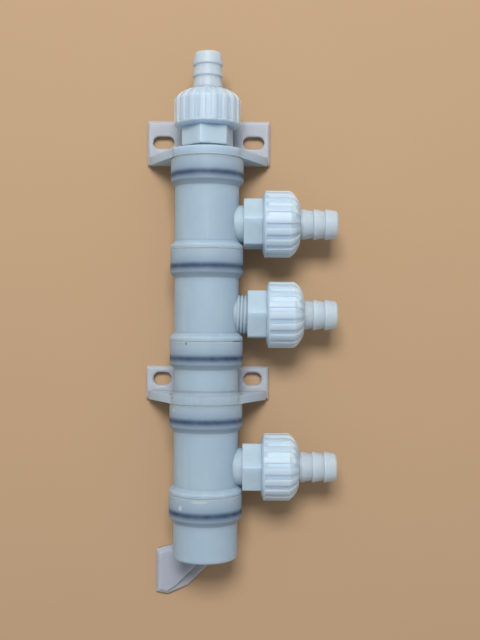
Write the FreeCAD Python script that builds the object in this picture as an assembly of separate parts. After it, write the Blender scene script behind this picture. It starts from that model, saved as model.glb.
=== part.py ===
import FreeCAD, Part
import math
import os

Vector = FreeCAD.Vector

# Water distribution manifold, in millimetres.
# +Y runs along the header towards the inlet, +X is the side of the outlets, +Z points away from the wall.
# The origin is on the mounting face, midway between the two slots of the inlet bracket.

# Header modules
TUBE_D = 34.4
TUBE_WALL = 2.7
COLLAR_LAND = 2.1           # straight land at the lower end of a tee, next to the seam
COLLAR_FLARE = 2.4          # cone from the tube out to that land
RIM_CHAMFER = 0.3           # broken edge on each side of a seam
TEE_LENGTH = 48.5           # from seam to seam
TEES_ABOVE_MID = 2
TEES_BELOW_MID = 1
MID_LENGTH = 33.0
CAP_LENGTH = 34.4
CAP_END_WALL = 2.7
CAP_EDGE_RADIUS = 1.6
WALL_GAP = 3.5              # least room between a socket and the wall behind it

# Plug joints between the modules
SPIGOT_STEP = 0.2           # spigot inside the tube's own outside, radial
SPIGOT_WALL = 1.9           # wall left under the ring groove
SPIGOT_LEAD = 0.8           # lead-in chamfer at the end of the spigot
SPIGOT_END_GAP = 0.3
JOINT_CLEARANCE = 0.1       # radial, spigot in socket
SOCKET_WALL = 2.4
SOCKET_DEPTH = 13.0
SLEEVE_LENGTH = 12.2        # outside length of a socket, before its taper
SLEEVE_TAPER = 2.8
RING_CORD = 2.6             # O-ring cord before it is squeezed
RING_SQUEEZE = 0.4
RING_OFFSET = 9.0           # from the seam to the middle of the O-ring
RING_CLEARANCE = 0.05
GROOVE_PLAY = 0.5           # axial room for the squeezed ring

# Hose tails and their gaskets
BARB_D = 16.3               # for hose of 15 to 16 mm bore
BARB_HEIGHT = 1.05
BARB_LAND = 0.6
BARB_BACK = 0.5             # length of the steep back of a barb
BARB_PITCH = 6.2
BARB_COUNT = 3
TAIL_WALL = 1.9
TAIL_REACH = 20.25          # beyond the end of a tightened nut
TAIL_CLEARANCE = 0.15       # radial, barbs through the nut
TIP_LENGTH = 6.0            # from the last barb's land to the end
TIP_WALL = 2.1
TIP_CHAMFER = 0.9
SHANK_STEP = 0.25           # shank inside the barbs, radial
FLANGE_LIP = 0.85           # seat of the nut on the flange
FLANGE_THICKNESS = 2.5
GASKET_THICKNESS = 2.0

# Threaded bosses. For this tail the thread is one half inch pipe thread, held at its pitch diameter.
FLANGE_GAP = 0.75           # radial, flange inside the thread
THREAD_CLEARANCE = 0.1
BOSS_WALL = 2.9
BOSS_LENGTH = 21.6          # from the wall that carries the boss
BOSS_CHAMFER = 0.8
PORT_RISE = 14.2            # from the seam below an outlet to its axis

# Union nuts
NUT_COLLAR_GAP = 0.2        # between the mouth of an outlet's nut and the collars of its tee
NUT_MOUTH_CHAMFER = 0.8
NUT_END_WALL = 6.4
NUT_EAR_GAP = 0.7           # least room between the inlet nut and the ears under it
HEX_WALL = 2.25             # from the thread to the flats
HEX_LENGTH = 10.1
HEX_CHAMFER = 0.5           # turned off the corners of its mouth
GRIP_D = 35.6
GRIP_BEVEL = 1.2            # lean of the grip's back face beside the hexagon
GRIP_BEVEL_DEPTH = 3.0      # over this much of its radius
GRIP_RIM = 1.8              # from the hexagon to the start of the grooves
SHOULDER_LENGTH = 5.4       # domed end of the grip, along its axis
SHOULDER_BULGE = 0.9        # of the dome beyond a plain cone
END_FACE = 2.2              # flat end between the dome and the tail
RIB_COUNT = 18
RIB_ANGLE = 10.5
RIB_HEIGHT = 0.9
RIB_PHASE = 16.5            # from a corner of the hexagon to the middle of a groove
OUTLET_2_BACKED_OFF = 2.3   # this nut stands unscrewed by about one and a quarter turns

# Turn of each nut's hexagon, from the way that faces off the wall
HEX_TURN = {"inlet": 47.0, "outlet_1": -8.0, "outlet_2": -4.6, "outlet_3": -6.6}

# Brackets
SLOT_SPACING = 50.0
SLOT_WIDTH = 7.2
INLET_SLOT_LENGTH = 11.8
INLET_SLOT_GAP = 4.7        # from the web to the slot
INLET_EAR_MARGIN = 8.5      # from the slot to the far edge of the ear
INLET_SLOT_CHAMFER = 0.4    # on the side of the screw heads
MID_SLOT_LENGTH = 10.0
MID_SLOT_GAP = 3.4
MID_EAR_MARGIN = 3.4
MID_SLOT_CHAMFER = 0.9
EAR_SIDE_MARGIN = 3.1       # from the end of the longer slot to the side of the ear
EAR_SETBACK = 0.4           # from the web's lower face to the near edge of the ears
EAR_THICKNESS = 4.5
EAR_CORNER_RADIUS = 0.8
EAR_BEVEL = 1.4
WEB_THICKNESS = 4.5
WEB_FOOT = 26.3             # from the header axis to where a flank meets its ear
WEB_MARGIN = 0.5            # crown of the web beyond the sockets

# Foot of the end cap, as seen on the wall
FOOT_SIDE = 27.9            # from the header axis to the straight side, away from the outlets
FOOT_REACH = 25.6           # from the cap's end face to the toe
FOOT_SIDE_START = 0.8       # where the straight side starts, beyond the end face
FOOT_SIDE_STEP = 1.2        # the side ends this much short of the toe
FOOT_TOE = 6.2              # from the side to the toe's corner
FOOT_HIP = 17.4             # from the side to the foot of the diagonal
FOOT_HIP_RISE = 4.8
FOOT_DIAGONAL = 14.0        # rise and run of the diagonal side
FOOT_SHOULDER = 2.0         # how far its upper edge has run back where it passes under the cap's side
FOOT_ROOT = 8.0             # how far the foot runs back under the cap in all
FOOT_HEIGHT = 4.5
FOOT_BEVEL = 2.1
FOOT_LEDGE = 2.4            # thickness of the ledge along the diagonal, and of all edges
FOOT_LEDGE_RUN = 6.2        # across the ledge, along X
FOOT_LEDGE_DRAFT = 0.5      # lean of the step behind it
FOOT_POST = 9.0             # width of the post between foot and cap

EDGE_TOLERANCE = 0.1        # for picking edges by their boxes

# Sizes that follow, from the header outwards
tube_r = TUBE_D / 2
tube_bore_r = tube_r - TUBE_WALL
spigot_r = tube_r - SPIGOT_STEP
socket_bore_r = spigot_r + JOINT_CLEARANCE
sleeve_r = socket_bore_r + SOCKET_WALL
spigot_length = SOCKET_DEPTH - SPIGOT_END_GAP
ring_width = RING_CORD + RING_SQUEEZE
groove_width = ring_width + GROOVE_PLAY
groove_r = socket_bore_r - (RING_CORD - RING_SQUEEZE)
spigot_bore_r = groove_r - SPIGOT_WALL
web_r = sleeve_r + WEB_MARGIN
axis_height = max(sleeve_r + WALL_GAP, EAR_THICKNESS + NUT_EAR_GAP + GRIP_D / 2)

# From the hose tail out to the thread and the nut
barb_r = BARB_D / 2
barb_root_r = barb_r - BARB_HEIGHT
tail_bore_r = barb_root_r - TAIL_WALL
tip_r = tail_bore_r + TIP_WALL
nut_hole_r = barb_r + TAIL_CLEARANCE
flange_r = nut_hole_r + FLANGE_LIP
thread_r = flange_r + FLANGE_GAP
boss_bore_r = thread_r - BOSS_WALL
nut_bore_r = thread_r + THREAD_CLEARANCE
flats_r = nut_bore_r + HEX_WALL
corner_r = flats_r / math.cos(math.radians(30))
grip_r = GRIP_D / 2
grip_end_r = nut_hole_r + END_FACE

# Along a union's own axis, from the sealing face of its boss
nut_mouth = sleeve_r - tube_r + NUT_COLLAR_GAP - BOSS_LENGTH
grip_start = nut_mouth + HEX_LENGTH
nut_seat = GASKET_THICKNESS + FLANGE_THICKNESS
nut_end = nut_seat + NUT_END_WALL
tail_end = nut_end + TAIL_REACH

# Along the brackets and the header
inlet_slot_offset = WEB_THICKNESS + INLET_SLOT_GAP + SLOT_WIDTH / 2
mid_slot_offset = WEB_THICKNESS + MID_SLOT_GAP + SLOT_WIDTH / 2
ear_half = (SLOT_SPACING + max(INLET_SLOT_LENGTH, MID_SLOT_LENGTH)) / 2 + EAR_SIDE_MARGIN
web_lower = -inlet_slot_offset
inlet_face = web_lower + WEB_THICKNESS + BOSS_LENGTH
outlet_face = tube_r + BOSS_LENGTH


def turned(start, *steps, angle=360):
    """Solid of revolution about Y. A step is a point (radius, y), or an arc as (middle, end)."""
    here = Vector(*start)
    edges = []
    for step in steps + (start,):
        if isinstance(step[0], tuple):
            middle, end = Vector(*step[0]), Vector(*step[1])
            edges.append(Part.Arc(here, middle, end).toShape())
        else:
            end = Vector(*step)
            edges.append(Part.makeLine(here, end))
        here = end
    return Part.Face(Part.Wire(edges)).revolve(Vector(0, 0, 0), Vector(0, 1, 0), angle)


def closed_face(points):
    """Flat face whose corners are those points."""
    return Part.Face(Part.makePolygon(points + points[:1]))


def drum(radius, low, high):
    """Cylinder about Y between two heights."""
    return Part.makeCylinder(radius, high - low, Vector(0, low, 0), Vector(0, 1, 0))


def spigot_outline(seam):
    """Points of a spigot below a seam, from the seam's face round to its bore."""
    groove_top = seam - RING_OFFSET + groove_width / 2
    groove_bottom = groove_top - groove_width
    end = seam - spigot_length
    return [
        (spigot_r, seam),
        (spigot_r, groove_top),
        (groove_r, groove_top),
        (groove_r, groove_bottom),
        (spigot_r, groove_bottom),
        (spigot_r, end + SPIGOT_LEAD),
        (spigot_r - SPIGOT_LEAD, end),
        (spigot_bore_r, end),
    ]


def socket_outline(seam):
    """Points of a socket below its seam, outside from its rim down to the tube."""
    return [
        (socket_bore_r, seam),
        (sleeve_r - RIM_CHAMFER, seam),
        (sleeve_r, seam - RIM_CHAMFER),
        (sleeve_r, seam - SLEEVE_LENGTH),
        (tube_r, seam - SLEEVE_LENGTH - SLEEVE_TAPER),
    ]


def bore_outline(seam, top):
    """Points of a module's inside, from its spigot up to the mouth of its socket."""
    return [
        (spigot_bore_r, seam + COLLAR_LAND),
        (tube_bore_r, seam + COLLAR_LAND + COLLAR_FLARE),
        (tube_bore_r, top - SOCKET_DEPTH),
        (socket_bore_r, top - SOCKET_DEPTH),
    ]


def boss(root):
    """Solid boss along Y, from its root up to the sealing face at zero."""
    return turned(
        (0, root),
        (thread_r, root),
        (thread_r, -BOSS_CHAMFER),
        (thread_r - BOSS_CHAMFER, 0),
        (0, 0),
    )


def to_header(shape, y=0.0):
    """Lifts a piece modelled about Y onto the header axis."""
    moved = shape.copy()
    moved.translate(Vector(0, y, axis_height))
    return moved


def to_outlet(shape, y=0.0):
    """Turns a piece from Y onto an outlet at that height, with the header axis still at zero."""
    moved = shape.copy()
    moved.rotate(Vector(0, 0, 0), Vector(0, 0, 1), -90)
    moved.translate(Vector(outlet_face, y, 0))
    return moved


def tee_module():
    """Tee with its upper seam at zero: socket, tube, outlet boss, collar and spigot."""
    seam = -TEE_LENGTH
    port = seam + PORT_RISE
    body = turned(
        *socket_outline(0),
        (tube_r, seam + COLLAR_LAND + COLLAR_FLARE),
        (sleeve_r, seam + COLLAR_LAND),
        (sleeve_r, seam + RIM_CHAMFER),
        (sleeve_r - RIM_CHAMFER, seam),
        *spigot_outline(seam),
        *bore_outline(seam, 0),
    )
    inside = drum(tube_r - TUBE_WALL / 2, seam, 0)
    body = body.fuse(to_outlet(boss(-BOSS_LENGTH - TUBE_WALL), port).cut(inside)).removeSplitter()
    return body.cut(to_outlet(drum(boss_bore_r, -outlet_face, 0), port))


def stadium(length, width, x, y, depth):
    """Cutter for a slot along X, standing on the mounting face."""
    half = length / 2 - width / 2
    left, right = Vector(x - half, y, 0), Vector(x + half, y, 0)
    up = Vector(0, width / 2, 0)
    out = Vector(width / 2, 0, 0)
    edges = [
        Part.makeLine(left - up, right - up),
        Part.Arc(right - up, right + out, right + up).toShape(),
        Part.makeLine(right + up, left + up),
        Part.Arc(left + up, left - out, left - up).toShape(),
    ]
    return Part.Face(Part.Wire(edges)).extrude(Vector(0, 0, depth))


def ear_plate(low, far):
    """Plate on the wall between two heights, with a bevelled top and rounded corners."""
    plate = Part.makeBox(2 * ear_half, far - low, EAR_THICKNESS, Vector(-ear_half, low, 0))
    rim = [edge for edge in plate.Edges if edge.BoundBox.ZMin > EAR_THICKNESS - EDGE_TOLERANCE]
    plate = plate.makeChamfer(EAR_BEVEL, rim)
    uprights = [edge for edge in plate.Edges if edge.BoundBox.ZLength > EAR_BEVEL + EDGE_TOLERANCE]
    return plate.makeFillet(EAR_CORNER_RADIUS, uprights)


def web(low):
    """Upright crown about the header axis, with straight flanks down to the ears."""
    rise = axis_height - EAR_THICKNESS
    touch = math.acos(web_r / math.hypot(WEB_FOOT, rise)) - math.atan2(rise, WEB_FOOT)
    flank_x = web_r * math.cos(touch)
    flank_z = axis_height + web_r * math.sin(touch)
    crown = Vector(0, low, axis_height + web_r)
    right, left = Vector(flank_x, low, flank_z), Vector(-flank_x, low, flank_z)
    sides = [
        left,
        Vector(-WEB_FOOT, low, EAR_THICKNESS),
        Vector(-WEB_FOOT, low, 0),
        Vector(WEB_FOOT, low, 0),
        Vector(WEB_FOOT, low, EAR_THICKNESS),
        right,
    ]
    outline = [Part.Arc(right, crown, left).toShape()]
    outline += [Part.makeLine(a, b) for a, b in zip(sides, sides[1:])]
    return Part.Face(Part.Wire(outline)).extrude(Vector(0, WEB_THICKNESS, 0))


def bracket(low, slot_length, slot_offset, slot_chamfer, ear_margin):
    """Slotted ears and their web, whose lower face is at that height along Y."""
    ears = ear_plate(low + EAR_SETBACK, low + slot_offset + SLOT_WIDTH / 2 + ear_margin)
    for side in (-1, 1):
        slot = stadium(slot_length, SLOT_WIDTH, side * SLOT_SPACING / 2, low + slot_offset, EAR_THICKNESS)
        ears = ears.cut(slot)
        room = slot.BoundBox
        room.enlarge(EDGE_TOLERANCE)
        mouth = []
        for edge in ears.Edges:
            if edge.BoundBox.ZMin > EAR_THICKNESS - EDGE_TOLERANCE and room.isInside(edge.BoundBox):
                mouth.append(edge)
        ears = ears.makeChamfer(slot_chamfer, mouth)
    return ears.fuse(web(low))


def inlet_bracket():
    """End module: inlet boss, bracket and spigot."""
    spigot = turned(*spigot_outline(web_lower), (spigot_bore_r, web_lower))
    body = bracket(web_lower, INLET_SLOT_LENGTH, inlet_slot_offset, INLET_SLOT_CHAMFER, INLET_EAR_MARGIN)
    body = body.fuse([to_header(spigot), to_header(boss(-BOSS_LENGTH), inlet_face)]).removeSplitter()
    return body.cut(to_header(drum(boss_bore_r, web_lower, inlet_face)))


def mid_bracket(top):
    """Short module between two tees: socket, tube, bracket and spigot."""
    seam = top - MID_LENGTH
    body = turned(
        *socket_outline(top),
        (tube_r, seam),
        *spigot_outline(seam),
        *bore_outline(seam, top),
    )
    ears = bracket(seam, MID_SLOT_LENGTH, mid_slot_offset, MID_SLOT_CHAMFER, MID_EAR_MARGIN)
    inside = drum(tube_r - TUBE_WALL / 2, seam, top)
    return to_header(body).fuse(ears.cut(to_header(inside))).removeSplitter()


def end_cap(top):
    """Last module: socket, closed end and foot."""
    end = top - CAP_LENGTH
    bend = CAP_EDGE_RADIUS * (1 - math.sqrt(0.5))
    body = turned(
        *socket_outline(top),
        (tube_r, end + CAP_EDGE_RADIUS),
        ((tube_r - bend, end + bend), (tube_r - CAP_EDGE_RADIUS, end)),
        (0, end),
        (0, end + CAP_END_WALL),
        (tube_bore_r, end + CAP_END_WALL),
        (tube_bore_r, top - SOCKET_DEPTH),
        (socket_bore_r, top - SOCKET_DEPTH),
    )
    inside = drum(tube_r - TUBE_WALL / 2, end, top)
    return to_header(body).fuse(cap_foot(end).cut(to_header(inside))).removeSplitter()


def cap_foot(end):
    """Foot plate beyond the cap's end, with a raised and bevelled middle beside its ledge, and its post."""
    side = -FOOT_SIDE
    toe = end - FOOT_REACH
    hip_x, hip_y = side + FOOT_HIP, toe + FOOT_HIP_RISE
    root_x, root_y = hip_x + FOOT_DIAGONAL, end + FOOT_ROOT
    outside = [
        (side, end - FOOT_SIDE_START),
        (side, toe + FOOT_SIDE_STEP),
        (side + FOOT_TOE, toe),
    ]
    back = [
        (-FOOT_POST, root_y),
        (-tube_r, end + FOOT_SHOULDER),
    ]

    def diagonal(run):
        return [(hip_x - run, hip_y), (root_x - run, hip_y + FOOT_DIAGONAL), (root_x - run, root_y)]

    # How far the top of the raised middle stands in from each of its corners
    insets = [
        (FOOT_BEVEL, -FOOT_BEVEL),
        (FOOT_BEVEL, FOOT_BEVEL),
        (0, FOOT_BEVEL),
        (-FOOT_LEDGE_DRAFT, 0),
        (-FOOT_LEDGE_DRAFT, 0),
        (-FOOT_LEDGE_DRAFT, -FOOT_BEVEL),
        (0, -FOOT_BEVEL),
        (0, -FOOT_BEVEL),
    ]
    plate = closed_face([Vector(x, y, 0) for x, y in outside + diagonal(0) + back])
    corners = outside + diagonal(FOOT_LEDGE_RUN) + back
    lower = [Vector(x, y, FOOT_LEDGE) for x, y in corners]
    upper = [Vector(x + dx, y + dy, FOOT_HEIGHT) for (x, y), (dx, dy) in zip(corners, insets)]
    middle = Part.makeLoft([Part.makePolygon(points + points[:1]) for points in (lower, upper)], True, True)
    start = end + CAP_EDGE_RADIUS
    post = Part.makeBox(FOOT_POST, root_y - FOOT_BEVEL - start, axis_height, Vector(-FOOT_POST, start, 0))
    return plate.extrude(Vector(0, 0, FOOT_LEDGE)).fuse([middle, post])


def o_ring():
    """O-ring as it lies squeezed between groove and socket, about Y."""
    inner, outer = groove_r + RING_CLEARANCE, socket_bore_r - RING_CLEARANCE
    middle = (inner + outer) / 2
    round_r = (outer - inner) / 2
    flat = ring_width / 2 - round_r
    return turned(
        (inner, -flat),
        ((middle, -flat - round_r), (outer, -flat)),
        (outer, flat),
        ((middle, flat + round_r), (inner, flat)),
    )


def hex_collar():
    """Hexagon of a union nut, with the corners of its mouth turned off."""
    corners = []
    for side in range(6):
        turn = math.radians(60 * side)
        corners.append(Vector(corner_r * math.sin(turn), nut_mouth, corner_r * math.cos(turn)))
    prism = closed_face(corners).extrude(Vector(0, HEX_LENGTH + GRIP_RIM, 0))
    turned_off = turned(
        (0, nut_mouth),
        (corner_r - HEX_CHAMFER, nut_mouth),
        (grip_r, nut_mouth + grip_r - corner_r + HEX_CHAMFER),
        (grip_r, grip_start + GRIP_RIM),
        (0, grip_start + GRIP_RIM),
    )
    return prism.common(turned_off)


def grip_end(depth):
    """Steps of the grip's side and domed end, that far below the tops of the ribs."""
    side_r, end_r = grip_r - depth, grip_end_r - depth
    shoulder = nut_end - SHOULDER_LENGTH
    fall = side_r - end_r
    bulge = SHOULDER_BULGE / math.hypot(SHOULDER_LENGTH, fall)
    middle = (
        (side_r + end_r) / 2 + bulge * SHOULDER_LENGTH,
        (shoulder + nut_end) / 2 + bulge * fall,
    )
    return [(side_r, shoulder), (middle, (end_r, nut_end))]


def union_nut():
    """Union nut along Y, with the boss's sealing face at zero when it is tight."""
    rim_start, rim_end = grip_start + GRIP_BEVEL, grip_start + GRIP_RIM
    core = turned(
        (0, grip_start),
        (grip_r - GRIP_BEVEL_DEPTH, grip_start),
        (grip_r, rim_start),
        (grip_r, rim_end),
        (grip_r - RIB_HEIGHT, rim_end),
        *grip_end(RIB_HEIGHT),
        (0, nut_end),
    )
    inner_r = nut_hole_r + RIB_HEIGHT
    rib = turned(
        (inner_r, rim_start),
        (grip_r, rim_start),
        *grip_end(0),
        (inner_r, nut_end),
        angle=RIB_ANGLE,
    )
    pitch = 360 / RIB_COUNT
    ribs = []
    for number in range(RIB_COUNT):
        copy = rib.copy()
        # A rib is turned from +X, a quarter turn away from the hexagon's first corner
        turn = -90 + RIB_PHASE + (pitch - RIB_ANGLE) / 2 + number * pitch
        copy.rotate(Vector(0, 0, 0), Vector(0, 1, 0), turn)
        ribs.append(copy)
    bore = turned(
        (0, nut_mouth),
        (nut_bore_r + NUT_MOUTH_CHAMFER, nut_mouth),
        (nut_bore_r, nut_mouth + NUT_MOUTH_CHAMFER),
        (nut_bore_r, nut_seat),
        (nut_hole_r, nut_seat),
        (nut_hole_r, nut_end),
        (0, nut_end),
    )
    return core.fuse([hex_collar()] + ribs).removeSplitter().cut(bore)


def hose_tail():
    """Barbed tail along Y: flange on the gasket, shank through the nut, barbs and tip."""
    shank_r = barb_r - SHANK_STEP
    first = tail_end - TIP_LENGTH - (BARB_COUNT - 1) * BARB_PITCH
    outline = [
        (flange_r, GASKET_THICKNESS),
        (flange_r, nut_seat),
        (shank_r, nut_seat),
        (shank_r, first - BARB_LAND),
    ]
    for number in range(BARB_COUNT):
        land = first + number * BARB_PITCH
        if number > 0:
            outline.append((barb_root_r, land - BARB_LAND - BARB_BACK))
        outline.append((barb_r, land - BARB_LAND))
        outline.append((barb_r, land))
    outline += [
        (tip_r, tail_end - TIP_CHAMFER),
        (tip_r - TIP_CHAMFER, tail_end),
        (tail_bore_r, tail_end),
    ]
    return turned((tail_bore_r, GASKET_THICKNESS), *outline)


def gasket():
    """Flat gasket between the boss's face and the tail's flange."""
    return drum(flange_r, 0, GASKET_THICKNESS).cut(drum(boss_bore_r, 0, GASKET_THICKNESS))


def build():
    nodes = {}
    seams = [web_lower]
    outlets = {}
    nodes["inlet_bracket"] = inlet_bracket()
    tee = tee_module()
    for number in range(1, TEES_ABOVE_MID + TEES_BELOW_MID + 1):
        if number == TEES_ABOVE_MID + 1:
            nodes["mid_bracket"] = mid_bracket(seams[-1])
            seams.append(seams[-1] - MID_LENGTH)
        nodes[f"tee_{number}"] = to_header(tee, seams[-1])
        seams.append(seams[-1] - TEE_LENGTH)
        outlets[f"outlet_{number}"] = seams[-1] + PORT_RISE
    nodes["end_cap"] = end_cap(seams[-1])

    ring = o_ring()
    for number, seam in enumerate(seams, 1):
        nodes[f"o_ring_{number}"] = to_header(ring, seam - RING_OFFSET)

    nut, tail, washer = union_nut(), hose_tail(), gasket()
    for name, turn in HEX_TURN.items():
        own_nut = nut.copy()
        own_nut.rotate(Vector(0, 0, 0), Vector(0, 1, 0), turn)
        if name == "outlet_2":
            own_nut.translate(Vector(0, OUTLET_2_BACKED_OFF, 0))
        for part, shape in (("nut", own_nut), ("tail", tail), ("gasket", washer)):
            if name == "inlet":
                nodes[f"{name}_{part}"] = to_header(shape, inlet_face)
            else:
                nodes[f"{name}_{part}"] = to_header(to_outlet(shape, outlets[name]))
    return nodes


os.makedirs("parts", exist_ok=True)
for node, shape in build().items():
    shape.exportStep(f"parts/{node}.step")
    state = "valid" if shape.isValid() else "not valid"
    print(node, len(shape.Solids), "solid", round(shape.Volume), "mm3", state)
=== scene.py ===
import bpy
import math
from functools import reduce
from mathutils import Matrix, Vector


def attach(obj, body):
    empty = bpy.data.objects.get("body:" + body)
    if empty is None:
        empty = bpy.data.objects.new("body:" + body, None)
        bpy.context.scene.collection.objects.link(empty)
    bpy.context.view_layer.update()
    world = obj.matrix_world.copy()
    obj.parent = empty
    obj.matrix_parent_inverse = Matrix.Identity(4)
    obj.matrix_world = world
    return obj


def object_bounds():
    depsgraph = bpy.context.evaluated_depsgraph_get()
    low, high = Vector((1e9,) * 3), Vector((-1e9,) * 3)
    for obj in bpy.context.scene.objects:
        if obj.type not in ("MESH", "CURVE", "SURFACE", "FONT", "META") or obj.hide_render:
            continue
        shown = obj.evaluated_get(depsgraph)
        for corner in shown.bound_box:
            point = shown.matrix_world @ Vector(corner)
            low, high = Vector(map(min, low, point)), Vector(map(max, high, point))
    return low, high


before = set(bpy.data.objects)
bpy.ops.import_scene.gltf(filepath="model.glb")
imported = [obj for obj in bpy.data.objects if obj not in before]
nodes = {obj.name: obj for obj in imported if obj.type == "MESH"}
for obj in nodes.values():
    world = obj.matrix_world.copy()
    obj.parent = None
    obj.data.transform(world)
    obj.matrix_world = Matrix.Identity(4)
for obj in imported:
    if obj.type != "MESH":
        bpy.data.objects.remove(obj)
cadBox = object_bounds()
scene = bpy.context.scene
mm = 0.001
print("frame loaded:", len(nodes), "nodes")


def reach(name, axis):
    # least and greatest coordinate of a CAD node along an axis, in millimetres
    places = [vertex.co[axis] / mm for vertex in nodes[name].data.vertices]
    return min(places), max(places)


def midway(name, axis):
    return sum(reach(name, axis)) / 2


# the header in millimetres, with places read from the frame
lowerModules = ("tee_1", "tee_2", "mid_bracket", "tee_3", "end_cap")
outletTails = ("outlet_1_tail", "outlet_2_tail", "outlet_3_tail")
header = {
    "axisHeight": midway("inlet_tail", 2),
    "seams": [reach(name, 1)[1] for name in lowerModules],
    "ports": [midway(name, 1) for name in outletTails],
    "ring": reach("tee_1", 1)[1] - midway("o_ring_1", 1),  # from a seam down to its ring
    "socketEnd": 15.0,  # from a seam down to where its socket ends
    "tubeRadius": 17.2,
    "socketRadius": 19.5,
    "footTop": 4.5,  # upper side of the ears and the foot
    "webThickness": 4.5,
}
webFaces = (header["seams"][0], header["seams"][3])  # lower faces of the brackets' webs
print("seams at", [round(seam, 1) for seam in header["seams"]])


def fromScreen(red, green, blue):
    # screen values of 0 to 255 to the linear colour that a shader takes
    linear = []
    for value in (red, green, blue):
        value /= 255
        linear.append(value / 12.92 if value <= 0.04045 else ((value + 0.055) / 1.055) ** 2.4)
    return (*linear, 1.0)


def addObject(name, data):
    added = bpy.data.objects.new(name, data)
    scene.collection.objects.link(added)
    return added


class Sock:
    def __init__(self, finish, output):
        self.finish = finish
        self.output = output

    def pick(self, name):
        return Sock(self.finish, self.output.node.outputs[name])

    def __add__(self, other):
        return self.finish.maths("ADD", self, other)

    def __radd__(self, other):
        return self.finish.maths("ADD", other, self)

    def __sub__(self, other):
        return self.finish.maths("SUBTRACT", self, other)

    def __rsub__(self, other):
        return self.finish.maths("SUBTRACT", other, self)

    def __mul__(self, other):
        return self.finish.maths("MULTIPLY", self, other)

    def __rmul__(self, other):
        return self.finish.maths("MULTIPLY", other, self)

    def __abs__(self):
        return self.finish.maths("ABSOLUTE", self)

    def root(self):
        return self.finish.maths("SQRT", self)

    def nearer(self, other):
        return self.finish.maths("MINIMUM", self, other)

    def further(self, other):
        return self.finish.maths("MAXIMUM", self, other)

    def bell(self, width):
        # 1 at zero, fading like a bell curve of that width
        return self.finish.maths("EXPONENT", self * self * (-0.5 / width ** 2))

    def step(self, low, high):
        # smooth step from 0 at low to 1 at high, which may be the lesser of the two
        return self.finish.add(
            "ShaderNodeMapRange",
            {"interpolation_type": "SMOOTHSTEP"},
            {"Value": self, "From Min": low, "From Max": high},
        )

    def between(self, low, high, fade=0.1):
        return self.step(low - fade, low) * self.step(high + fade, high)

    def nearest(self, marks):
        # distance to the nearest of some marks
        return reduce(Sock.nearer, [abs(self - mark) for mark in marks])

    def since(self, marks, slack=0.2, far=1000.0):
        # how far below the last mark, or a long way where there is none above
        gaps = [mark - self for mark in marks]
        return reduce(Sock.nearer, [gap + self.finish.maths("LESS_THAN", gap, -slack) * far for gap in gaps])


class Finish:
    def __init__(self, name):
        self.material = bpy.data.materials.new(name)
        self.material.use_nodes = True
        self.tree = self.material.node_tree
        self.tree.nodes.clear()

    def add(self, kind, settings=None, sockets=None, out=0):
        node = self.tree.nodes.new(kind)
        for key, value in (settings or {}).items():
            setattr(node, key, value)
        for key, value in (sockets or {}).items():
            if isinstance(value, Sock):
                self.tree.links.new(value.output, node.inputs[key])
            else:
                node.inputs[key].default_value = value
        return Sock(self, node.outputs[out]) if node.outputs else None

    def maths(self, operation, first, second=0.0):
        return self.add("ShaderNodeMath", {"operation": operation}, {0: first, 1: second})

    def mix(self, first, second, amount):
        # inputs 6 and 7 and output 2 are the colours of a Mix node
        return self.add("ShaderNodeMix", {"data_type": "RGBA"}, {0: amount, 6: first, 7: second}, 2)

    def scaled(self, colour, amount):
        # a colour made lighter or darker by a value
        return self.add("ShaderNodeVectorMath", {"operation": "SCALE"}, {0: colour, "Scale": amount})

    def place(self):
        # the point on the piece, and its coordinates in millimetres
        spot = self.add("ShaderNodeTexCoord", out="Object")
        parts = self.add("ShaderNodeSeparateXYZ", None, {0: spot})
        return spot, [parts.pick(letter) * (1 / mm) for letter in "XYZ"]

    def cloud(self, spot, size, detail=3.0):
        # noise from 0 to 1 with features of that size in millimetres
        sockets = {"Vector": spot, "Scale": 1 / mm / size, "Detail": detail, "Roughness": 0.55}
        return self.add("ShaderNodeTexNoise", None, sockets)

    def around(self, value, spread, spot, size, detail=3.0):
        # noise that spreads about a value
        return self.cloud(spot, size, detail) * spread + (value - spread / 2)

    def shade(self, sockets, settings=None):
        shader = self.add("ShaderNodeBsdfPrincipled", settings, sockets)
        self.add("ShaderNodeOutputMaterial", None, {"Surface": shader})
        return self.material


# natural polypropylene as moulded: milky and cloudy, with the soft edges and the grain of its mould
milky = {
    "ior": 1.49,
    "gloss": 0.4,
    "glow": 1.0,
    "addedGlow": 0.35,  # for the thin pieces that stand on the solids
    "glowReach": (1.0, 1.1, 1.2),
    "glowScale": 8.0 * mm,
    "cloudEdges": (0.35, 0.7),
    "cloudAmount": 0.7,
    "edgeRadius": 0.35 * mm,
    "edgeSamples": 6,
    "grainSize": 0.45,
    "grainShare": 0.25,
    "waveSize": 9.0,
    "bumpDepth": 0.05 * mm,
}


def clouded(finish, spot, colour, cloudColour, size):
    cloudy = finish.cloud(spot, size, detail=4.0).step(*milky["cloudEdges"])
    return finish.mix(colour, cloudColour, cloudy * milky["cloudAmount"])


def softEdges(finish, spot, grain):
    # rounded edges, with a fine grain and slow waves on top
    samples = {"samples": milky["edgeSamples"]}
    rounded = finish.add("ShaderNodeBevel", samples, {"Radius": milky["edgeRadius"]})
    fine = finish.cloud(spot, milky["grainSize"], detail=2.0) * milky["grainShare"]
    sockets = {
        "Strength": grain,
        "Distance": milky["bumpDepth"],
        "Height": fine + finish.cloud(spot, milky["waveSize"], detail=1.0),
        "Normal": rounded,
    }
    return finish.add("ShaderNodeBump", None, sockets)


def plastic(finish, colour, roughness, bump, glow):
    sockets = {
        "Base Color": colour,
        "Roughness": roughness,
        "Normal": bump,
        "IOR": milky["ior"],
        "Specular IOR Level": milky["gloss"],
        "Subsurface Weight": glow,
        "Subsurface Radius": milky["glowReach"],
        "Subsurface Scale": milky["glowScale"],
    }
    return finish.shade(sockets, {"subsurface_method": "RANDOM_WALK"})


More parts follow.
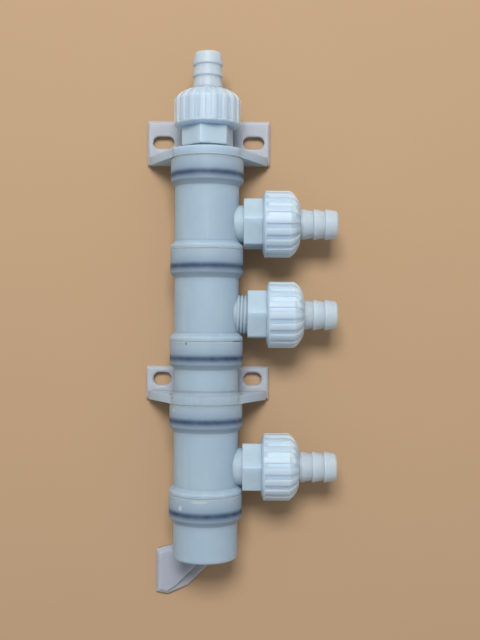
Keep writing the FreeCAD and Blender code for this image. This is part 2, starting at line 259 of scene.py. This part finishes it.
# frosted header: sizes in millimetres, and each pair is where a look starts and where it is full
frosted = {
    "tubeSkin": (16.4, 16.9),  # from the header axis
    "socketSkin": (17.3, 18.4),
    "skinEnd": (21.0, 20.4),
    "colour": fromScreen(166, 188, 208),
    "cloudColour": fromScreen(161, 183, 204),
    "cloudSize": 22.0,
    "streakColour": fromScreen(180, 199, 213),
    "streakWidth": 3.2,
    "streakScale": (1.0, 0.06, 1.0),
    "streakEdges": (0.52, 0.7),
    "streakPlace": (16.0, 34.0),  # below a seam
    "streakAmount": 0.4,
    "bossColour": fromScreen(177, 199, 217),
    "bossRadius": (10.9, 10.2),  # from an outlet's axis
    "bossPlace": (13.5, 15.5),  # out along X
    "webSlack": 0.1,  # past both faces of a web
    "flankRadius": (19.6, 20.3),  # from the header axis
    "flankPlace": (15.0, 19.0),  # out along X
    "flankFoot": (0.0, 0.2),  # above the ears
    "flankPaintedLight": 0.3,
    "flankGrey": 0.5,
    "flankGreyPlace": (11.5, 0.5),  # above the ears
    "earColour": fromScreen(178, 180, 188),
    "earPlace": (1.0, 0.1),  # above the ears
    "earAmount": 0.85,
    "footColour": fromScreen(170, 176, 189),
    "footAmount": 0.9,
    "footPlace": (33.0, 36.0),  # below the last seam
    "ringColour": fromScreen(30, 60, 94),
    "ringWidth": 1.5,
    "ringDepth": 0.9,
    "ringPatchSize": 6.0,
    "ringPatches": 0.4,
    "haloWidth": 3.2,
    "haloDepth": 0.34,
    "socketShade": 0.2,
    "shadePlace": (0.5, 2.5),  # below a ring
    "shadeEnd": (-3.0, 3.0),  # above the end of a socket
    "seamPaintedLight": 0.3,
    "seamWidth": 0.45,
    "mottle": 0.04,
    "mottleSize": 2.4,
    "dirt": fromScreen(66, 58, 48),
    "paleSpot": fromScreen(200, 214, 225),
    "markEdges": (1.6, 0.5),
    "markPlace": (2.0, 4.0),  # above the header axis
    "roughness": 0.55,
    "roughnessSpread": 0.14,
    "roughnessSize": 5.0,
    "grain": 0.35,
}

# small marks on the upper side: which seam, place along X, distance below the seam, two half sizes, strength
darkMarks = (
    (2, -9.9, 1.1, 0.34, 0.7, 0.9),
    (2, 16.6, -0.05, 2.6, 0.22, 0.85),
)
paleMarks = (
    (4, -2.6, 1.6, 4.2, 0.7, 0.6),
    (4, -12.6, 5.3, 0.9, 1.3, 0.7),
    (3, -16.6, 3.2, 0.5, 0.9, 0.7),
)


def marked(x, y, rise, marks):
    # how strong the oval marks of a list are at a point
    ovals = []
    for seam, markX, below, halfX, halfY, strength in marks:
        across = (x - markX) * (1 / halfX)
        along = (header["seams"][seam] - below - y) * (1 / halfY)
        ovals.append((across * across + along * along).step(*frosted["markEdges"]) * strength)
    return reduce(Sock.further, ovals) * rise.step(*frosted["markPlace"])


def frostedHeader(name, glow):
    look = frosted
    finish = Finish(name)
    spot, (x, y, z) = finish.place()
    rise = z - header["axisHeight"]
    fromAxis = (x * x + rise * rise).root()
    sinceSeam = y.since(header["seams"])
    onTube = fromAxis.step(*look["tubeSkin"]) * fromAxis.step(*look["skinEnd"])
    onSocket = fromAxis.step(*look["socketSkin"]) * fromAxis.step(*look["skinEnd"])

    # clouds in the plastic, and pale streaks painted down the lower half of each module
    colour = clouded(finish, spot, look["colour"], look["cloudColour"], look["cloudSize"])
    drawn = finish.add("ShaderNodeMapping", None, {"Vector": spot, "Scale": look["streakScale"]})
    streaky = finish.cloud(drawn, look["streakWidth"], detail=2.0).step(*look["streakEdges"])
    streaky = streaky * sinceSeam.step(*look["streakPlace"]) * onTube
    colour = finish.mix(colour, look["streakColour"], streaky * look["streakAmount"])

    # bosses are whiter, and ears and foot are greyer where they lie on the wall
    fromPort = y.nearest(header["ports"])
    fromPort = (fromPort * fromPort + rise * rise).root()
    onBoss = fromPort.step(*look["bossRadius"]) * x.step(*look["bossPlace"])
    colour = finish.mix(colour, look["bossColour"], onBoss)
    slack = look["webSlack"]
    onWeb = sum(y.between(low - slack, low + header["webThickness"] + slack) for low in webFaces)
    aboveEar = z - header["footTop"]
    flank = onWeb * fromAxis.step(*look["flankRadius"]) * abs(x).step(*look["flankPlace"])
    flank = flank * aboveEar.step(*look["flankFoot"])
    greyFlank = flank * aboveEar.step(*look["flankGreyPlace"]) * look["flankGrey"]
    flat = aboveEar.step(*look["earPlace"]).further(greyFlank)
    colour = finish.mix(colour, look["earColour"], flat * look["earAmount"])
    onFoot = (header["seams"][-1] - y).step(*look["footPlace"])
    colour = finish.mix(colour, look["footColour"], onFoot * flat * look["footAmount"])

    # the black rings show through the sockets, sharp where they press on the wall
    toRing = sinceSeam - header["ring"]
    patchy = finish.around(1.0, look["ringPatches"], spot, look["ringPatchSize"], detail=4.0)
    pressed = toRing.bell(look["ringWidth"]) * look["ringDepth"] * patchy
    halo = toRing.bell(look["haloWidth"]) * look["haloDepth"]
    colour = finish.mix(colour, look["ringColour"], pressed.further(halo).nearer(1.0) * onSocket)

    # painted shade from each ring down to the end of its socket, and painted light in each seam
    toEnd = header["socketEnd"] - sinceSeam
    shaded = toRing.step(*look["shadePlace"]) * toEnd.step(*look["shadeEnd"]) * onTube
    seam = y.nearest(header["seams"]).bell(look["seamWidth"]) * onTube
    colour = finish.scaled(colour, 1 - shaded * look["socketShade"] + seam * look["seamPaintedLight"])
    # pale oval spots on the upper side, lighter than the plastic
    colour = finish.mix(colour, look["paleSpot"], marked(x, y, rise, paleMarks))
    colour = finish.mix(colour, look["dirt"], marked(x, y, rise, darkMarks))
    mottle = finish.around(1.0, look["mottle"], spot, look["mottleSize"])
    # random tone, and painted light that makes the flanks of the webs lighter
    colour = finish.scaled(colour, mottle + flank * look["flankPaintedLight"])

    roughness = finish.around(look["roughness"], look["roughnessSpread"], spot, look["roughnessSize"])
    return plastic(finish, colour, roughness, softEdges(finish, spot, look["grain"]), glow)


# smooth nuts and tails: sizes in millimetres, and each pair is where a look starts and where it is full
smooth = {
    "nut": fromScreen(190, 209, 226),
    "nutCloud": fromScreen(187, 206, 224),
    "tail": fromScreen(187, 203, 219),
    "tailCloud": fromScreen(184, 200, 216),
    "cloudSize": 12.0,
    "inletPlace": (0.0, 1.0),  # above the first seam
    "inletShift": reach("outlet_1_nut", 0)[1] - reach("inlet_nut", 1)[1],  # to an outlet's place
    "grooveOutside": (17.6, 16.7),  # from the union's axis
    "grooveInside": (14.2, 15.2),
    "groovePlace": (32.0, 34.0),  # along an outlet's axis, where the ribs start
    "grooveSides": (15.0, 4.0),  # above the union's axis
    "groovePaintedLight": 0.25,
    "litStart": (1.0, 5.0),  # from a port towards the light
    "litEnd": (24.0, 20.0),  # ends past the nut
    "collar": fromScreen(183, 208, 232),
    "collarOutside": (14.9, 14.4),  # from the union's axis
    "collarInside": (10.0, 11.0),
    "collarPlace": (41.0, 38.0),  # along an outlet's axis
    "collarAmount": 0.8,
    "roughness": 0.42,
    "roughnessSpread": 0.1,
    "roughnessSize": 4.0,
    "grain": 0.1,
}


def smoothMoulding(name, colour, cloudColour):
    look = smooth
    finish = Finish(name)
    spot, (x, y, z) = finish.place()
    colour = clouded(finish, spot, colour, cloudColour, look["cloudSize"])

    # each union has its own axis: the inlet's runs along Y, the others along X
    atInlet = (y - header["seams"][0]).step(*look["inletPlace"])
    aside = x * atInlet + y.nearest(header["ports"]) * (1 - atInlet)
    rise = z - header["axisHeight"]
    fromAxis = (aside * aside + rise * rise).root()
    along = x + (y - x + look["inletShift"]) * atInlet

    # painted light: the grooves between the ribs are made lighter down the sides, and on the side of the
    # outlets towards the light
    groove = fromAxis.step(*look["grooveOutside"]) * fromAxis.step(*look["grooveInside"])
    groove = groove * along.step(*look["groovePlace"])
    lit = 0.0
    for port in header["ports"]:
        fromPort = y - port
        lit = lit + fromPort.step(*look["litStart"]) * fromPort.step(*look["litEnd"])
    groove = groove * rise.step(*look["grooveSides"]).further(lit)
    colour = finish.scaled(colour, 1 + groove * look["groovePaintedLight"])

    # bluer collars: painted light, making up for the shade of the header and the grip on them
    collar = fromAxis.step(*look["collarOutside"]) * fromAxis.step(*look["collarInside"])
    collar = collar * along.step(*look["collarPlace"])
    colour = finish.mix(colour, look["collar"], collar * look["collarAmount"])

    roughness = finish.around(look["roughness"], look["roughnessSpread"], spot, look["roughnessSize"])
    return plastic(finish, colour, roughness, softEdges(finish, spot, look["grain"]), milky["glow"])


rubber = {
    "colour": fromScreen(28, 29, 31),
    "dust": fromScreen(52, 53, 55),
    "dustSize": 3.0,
    "dustEdges": (0.5, 0.75),
    "dustAmount": 0.6,
    "dustRoughness": 0.2,
    "roughness": 0.62,
    "grain": 0.3,
    "grainSize": 0.5,
    "bumpDepth": 0.03 * mm,
}


def blackRubber(name):
    look = rubber
    finish = Finish(name)
    spot = finish.place()[0]
    dusty = finish.cloud(spot, look["dustSize"], detail=5.0).step(*look["dustEdges"])
    colour = finish.mix(look["colour"], look["dust"], dusty * look["dustAmount"])
    roughness = look["roughness"] + dusty * look["dustRoughness"]
    sockets = {
        "Strength": look["grain"],
        "Distance": look["bumpDepth"],
        "Height": finish.cloud(spot, look["grainSize"]),
    }
    bump = finish.add("ShaderNodeBump", None, sockets)
    return finish.shade({"Base Color": colour, "Roughness": roughness, "Normal": bump})


finishes = {
    "header": frostedHeader("frostedHeader", milky["glow"]),
    "thin": frostedHeader("frostedThin", milky["addedGlow"]),
    "nut": smoothMoulding("milkyNut", smooth["nut"], smooth["nutCloud"]),
    "tail": smoothMoulding("milkyTail", smooth["tail"], smooth["tailCloud"]),
    "rubber": blackRubber("blackRubber"),
}
for name, node in nodes.items():
    kind = name.split("_")[-1]
    if kind in ("nut", "tail"):
        finish = finishes[kind]
    elif kind == "gasket" or name.startswith("o_ring"):
        finish = finishes["rubber"]
    else:
        finish = finishes["header"]
    node.data.materials.clear()
    node.data.materials.append(finish)
print("finishes set on", len(nodes), "nodes")

# the screw thread of the outlet whose nut stands backed off: the sizes are the inputs of its tree
bossThread = {
    "Pitch": 1.814 * mm,
    "Turns": 3.4,
    "Root radius": 9.86 * mm,
    "Ridge radius": 0.62 * mm,
    "Run-out": 0.09,  # share of the length at each end
    "End width": 0.05,  # share of the ridge that is left there
    "Start": 16.0 * mm,  # from the header axis
    "Port": header["ports"][1] * mm,
    "Height": header["axisHeight"] * mm,
}
threadSteps = {"turn": 64, "ridge": 14}


class Tree:
    def __init__(self, name, sizes):
        self.group = bpy.data.node_groups.new(name, "GeometryNodeTree")
        face = self.group.interface
        self.names = {}
        face.new_socket("Geometry", in_out="INPUT", socket_type="NodeSocketGeometry")
        for size, value in sizes.items():
            socket = face.new_socket(size, in_out="INPUT", socket_type="NodeSocketFloat")
            socket.default_value = value
            self.names[size] = socket.identifier
        face.new_socket("Geometry", in_out="OUTPUT", socket_type="NodeSocketGeometry")
        self.source = self.group.nodes.new("NodeGroupInput")

    def size(self, name):
        return self.source.outputs[name]

    def add(self, kind, settings=None, sockets=None):
        node = self.group.nodes.new(kind)
        for key, value in (settings or {}).items():
            setattr(node, key, value)
        for key, value in (sockets or {}).items():
            if isinstance(value, bpy.types.NodeSocket):
                self.group.links.new(value, node.inputs[key])
            else:
                node.inputs[key].default_value = value
        return node.outputs[0] if node.outputs else None

    def maths(self, operation, first, second):
        return self.add("ShaderNodeMath", {"operation": operation}, {0: first, 1: second})


def threadTree(material):
    tree = Tree("bossThread", bossThread)
    spiral = {
        "Resolution": threadSteps["turn"],
        "Rotations": tree.size("Turns"),
        "Start Radius": tree.size("Root radius"),
        "End Radius": tree.size("Root radius"),
        "Height": tree.maths("MULTIPLY", tree.size("Pitch"), tree.size("Turns")),
    }
    helix = tree.add("GeometryNodeCurveSpiral", None, spiral)

    # the ridge runs out at both ends
    along = tree.add("GeometryNodeSplineParameter")
    fromEnd = tree.maths("MINIMUM", along, tree.maths("SUBTRACT", 1.0, along))
    swell = tree.add(
        "ShaderNodeMapRange",
        {"interpolation_type": "SMOOTHSTEP"},
        {"Value": fromEnd, "From Max": tree.size("Run-out"), "To Min": tree.size("End width")},
    )
    helix = tree.add("GeometryNodeSetCurveRadius", None, {"Curve": helix, "Radius": swell})
    circle = {"Resolution": threadSteps["ridge"], "Radius": tree.size("Ridge radius")}
    ridge = tree.add("GeometryNodeCurvePrimitiveCircle", None, circle)
    sweep = {"Curve": helix, "Profile Curve": ridge, "Fill Caps": True}
    swept = tree.add("GeometryNodeCurveToMesh", None, sweep)

    # from along Z to along the outlet's axis
    corner = {"X": tree.size("Start"), "Y": tree.size("Port"), "Z": tree.size("Height")}
    spot = tree.add("ShaderNodeCombineXYZ", None, corner)
    move = {"Geometry": swept, "Rotation": (0.0, math.pi / 2, 0.0), "Translation": spot}
    placed = tree.add("GeometryNodeTransform", None, move)
    whole = tree.add("GeometryNodeRealizeInstances", None, {0: placed})
    smoothed = tree.add("GeometryNodeSetShadeSmooth", None, {"Geometry": whole})
    painted = tree.add("GeometryNodeSetMaterial", None, {"Geometry": smoothed, "Material": material})
    tree.add("NodeGroupOutput", None, {0: painted})
    return tree


def grow(name, tree, sizes):
    # runs a tree on an empty mesh and keeps the result as a plain mesh
    seed = addObject(name + "Seed", bpy.data.meshes.new(name + "Seed"))
    modifier = seed.modifiers.new("grow", "NODES")
    modifier.node_group = tree.group
    for size, value in sizes.items():
        modifier[tree.names[size]] = value
    evaluated = seed.evaluated_get(bpy.context.evaluated_depsgraph_get())
    mesh = bpy.data.meshes.new_from_object(evaluated)
    bpy.data.objects.remove(seed)
    mesh.name = name
    print(name, "grown with", len(mesh.polygons), "faces in", [material.name for material in mesh.materials])
    return addObject(name, mesh)


thread = grow("outlet_2_thread", threadTree(finishes["thin"]), bossThread)

# the webs of both brackets run on to the ends of their ears, and the middle one has a fillet on its tube
web = {
    "lowerFaces": dict(zip(("inlet_web_flanks", "mid_web_flanks"), webFaces)),
    "radius": reach("mid_bracket", 2)[1] - header["axisHeight"],
    "foot": reach("mid_bracket", 0)[1] - 1.4,  # clear of the bevel round the ear
    "insideRadius": header["socketRadius"] - 0.05,  # just inside the socket that stands against the web
    "insideEnd": math.radians(-60),
    "insideSteps": 16,
    "cover": 0.02,  # stands this far over the solid web
    "fillet": 2.0,
    "filletSteps": 8,
    "filletSunk": 0.1,  # its back lies this deep in the tube and the web
    "turnSteps": 128,
    "sharpFrom": math.radians(30),
}


def flankOutline():
    # in X and Z: up the end of the ear, along the flank to the crown, and back down round the socket
    rise = header["axisHeight"] - header["footTop"]
    crown = web["radius"] + web["cover"]
    touch = math.acos(crown / math.hypot(web["foot"], rise)) - math.atan2(rise, web["foot"])
    spots = [(crown, touch)]
    for step in range(web["insideSteps"] + 1):
        turn = touch + (web["insideEnd"] - touch) * step / web["insideSteps"]
        spots.append((web["insideRadius"], turn))
    outline = [(web["foot"], 0.0), (web["foot"], header["footTop"])]
    for radius, turn in spots:
        outline.append((radius * math.cos(turn), header["axisHeight"] + radius * math.sin(turn)))
    return outline + [(outline[-1][0], 0.0)]


def filletOutline(top):
    # as distances from the header axis and places along it, counterclockwise
    size = web["fillet"]
    back = header["tubeRadius"] - web["filletSunk"]
    under = top - web["filletSunk"]
    outline = [(back, top + size), (back, under), (header["tubeRadius"] + size, under)]
    for step in range(web["filletSteps"] + 1):
        turn = math.pi / 2 * step / web["filletSteps"]
        radius = header["tubeRadius"] + size * (1 - math.sin(turn))
        outline.append((radius, top + size * (1 - math.cos(turn))))
    return outline


def addPiece(name, points, faces):
    mesh = bpy.data.meshes.new(name)
    mesh.from_pydata([[value * mm for value in point] for point in points], [], faces)
    mesh.shade_smooth()
    mesh.set_sharp_from_angle(angle=web["sharpFrom"])
    mesh.materials.append(finishes["thin"])
    print(name, "made with", len(faces), "faces")
    return addObject(name, mesh)


def flankPair(name, low, high):
    points = []
    faces = []
    for side in (1, -1):
        outline = [(side * x, z) for x, z in flankOutline()][::side]
        first, count = len(points), len(outline)
        points += [(x, y, z) for y in (low, high) for x, z in outline]
        near = range(first, first + count)
        faces.append(list(near))
        faces.append([index + count for index in reversed(near)])
        for index in near:
            after = first + (index - first + 1) % count
            faces.append([after, index, index + count, after + count])
    return addPiece(name, points, faces)


def filletRing(name, top):
    outline = filletOutline(top)
    count = len(outline)
    points = []
    faces = []
    for step in range(web["turnSteps"]):
        turn = 2 * math.pi * step / web["turnSteps"]
        for radius, y in outline:
            points.append((radius * math.cos(turn), y, header["axisHeight"] + radius * math.sin(turn)))
        here, there = step * count, (step + 1) % web["turnSteps"] * count
        for index in range(count):
            after = (index + 1) % count
            faces.append([here + index, here + after, there + after, there + index])
    return addPiece(name, points, faces)


webPieces = []
for name, low in web["lowerFaces"].items():
    webPieces.append(flankPair(name, low - web["cover"], low + header["webThickness"] + web["cover"]))
webPieces.append(filletRing("mid_web_fillet", web["lowerFaces"]["mid_web_flanks"] + header["webThickness"]))
for piece in (thread, *webPieces):
    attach(piece, "root")

# plain pale floor, soft light from the inlet's end and a camera straight above
studio = {
    "floorColour": fromScreen(184, 153, 120),
    "floorSize": 14.0,
    "floorMottle": 0.03,
    "floorMottleSize": 60.0,
    "floorRoughness": 0.8,
    "skyColour": (0.97, 0.985, 1.0, 1.0),
    "skyStrength": 0.37,
    "windowPlace": (-0.03, 0.55, 1.25),
    "windowSize": (0.55, 0.4),
    "windowPower": 16.2,
    "windowColour": (1.0, 0.99, 0.97),
    "cameraPlace": (0.018, -0.09852, 0.518),
    "cameraRoll": math.radians(0.33),
    "focalPixels": 923.0,
    "frameHeight": 640.0,
    "sensor": 36.0,
    "clipStart": 0.01,
}


def layFloor():
    half = studio["floorSize"] / 2
    mesh = bpy.data.meshes.new("floor")
    corners = [(-half, -half, 0), (half, -half, 0), (half, half, 0), (-half, half, 0)]
    mesh.from_pydata(corners, [], [(0, 1, 2, 3)])
    finish = Finish("paleFloor")
    tone = finish.around(1.0, studio["floorMottle"], finish.place()[0], studio["floorMottleSize"])
    colour = finish.scaled(studio["floorColour"][:3], tone)
    mesh.materials.append(finish.shade({"Base Color": colour, "Roughness": studio["floorRoughness"]}))
    addObject("floor", mesh)


def lightUp():
    world = bpy.data.worlds.new("studio")
    world.use_nodes = True
    sky = world.node_tree.nodes["Background"]
    sky.inputs["Color"].default_value = studio["skyColour"]
    sky.inputs["Strength"].default_value = studio["skyStrength"]
    scene.world = world

    light = bpy.data.lights.new("window", "AREA")
    light.shape = "RECTANGLE"
    light.size, light.size_y = studio["windowSize"]
    light.energy = studio["windowPower"]
    light.color = studio["windowColour"]
    window = addObject("window", light)
    window.location = studio["windowPlace"]
    target = (cadBox[0] + cadBox[1]) / 2
    window.rotation_euler = (window.location - target).to_track_quat("Z", "Y").to_euler()


def aimCamera():
    camera = addObject("camera", bpy.data.cameras.new("camera"))
    camera.location = studio["cameraPlace"]
    camera.rotation_euler = (0.0, 0.0, studio["cameraRoll"])
    camera.data.sensor_width = studio["sensor"]
    camera.data.lens = studio["focalPixels"] / studio["frameHeight"] * studio["sensor"]
    camera.data.clip_start = studio["clipStart"]
    scene.camera = camera
    scene.view_settings.view_transform = "Standard"


layFloor()
lightUp()
aimCamera()
print("studio ready")
